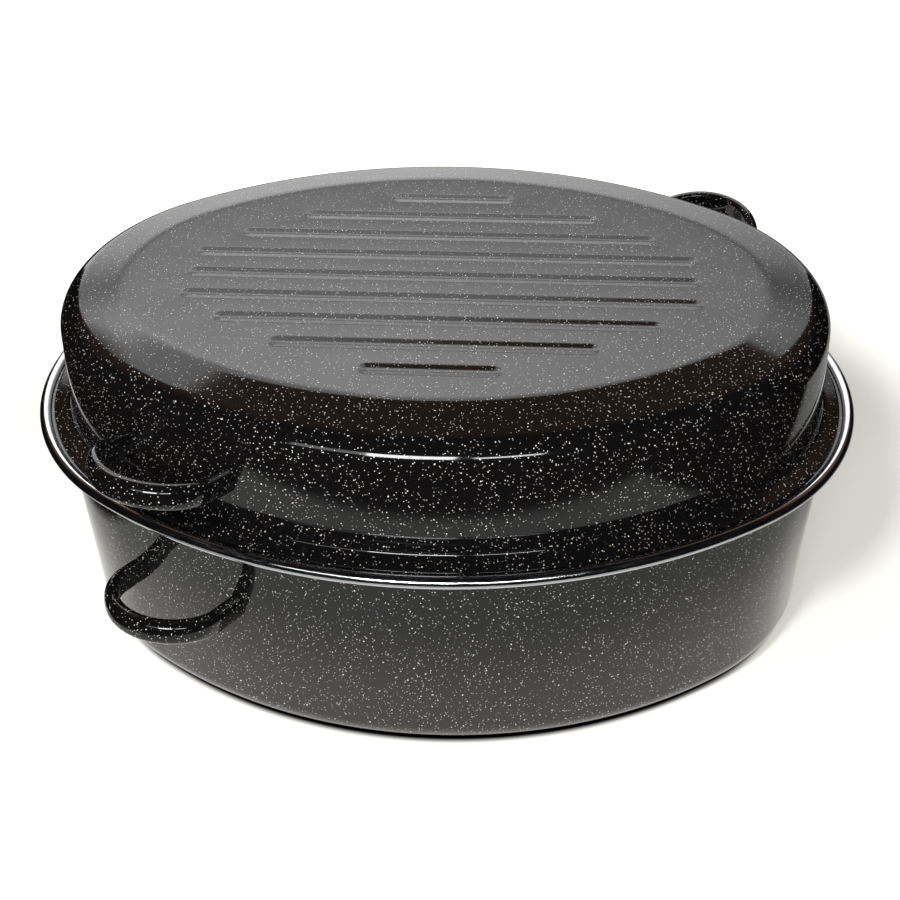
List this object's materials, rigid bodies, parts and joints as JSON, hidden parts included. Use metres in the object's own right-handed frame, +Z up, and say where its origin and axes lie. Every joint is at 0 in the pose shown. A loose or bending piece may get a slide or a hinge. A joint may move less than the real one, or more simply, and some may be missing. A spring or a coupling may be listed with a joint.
{
  "type": "oval roasting pan",
  "caption": "Deep oval roasting pan in black speckled enamel, with a grooved lid that rests inside its steel-wrapped rim and strap handles on pan and lid.",
  "frame": {"origin": "on the base plane, below the middle of the oval", "axes": "+X along the oval's length and the lid's grooves, +Y across it, away from the front handles, +Z up"},
  "size_m": [0.436, 0.324, 0.196],
  "materials": {
    "enamel": "gloss vitreous enamel with fine white specks",
    "stainless": "polished"
  },
  "bodies": {
    "root": {"pan_body": "enamel", "pan_rim_band": "stainless", "pan_handle_left": "enamel", "pan_handle_right": "enamel", "lid_shell": "enamel", "lid_handle_left": "enamel", "lid_handle_right": "enamel"}
  },
  "joints": []
}
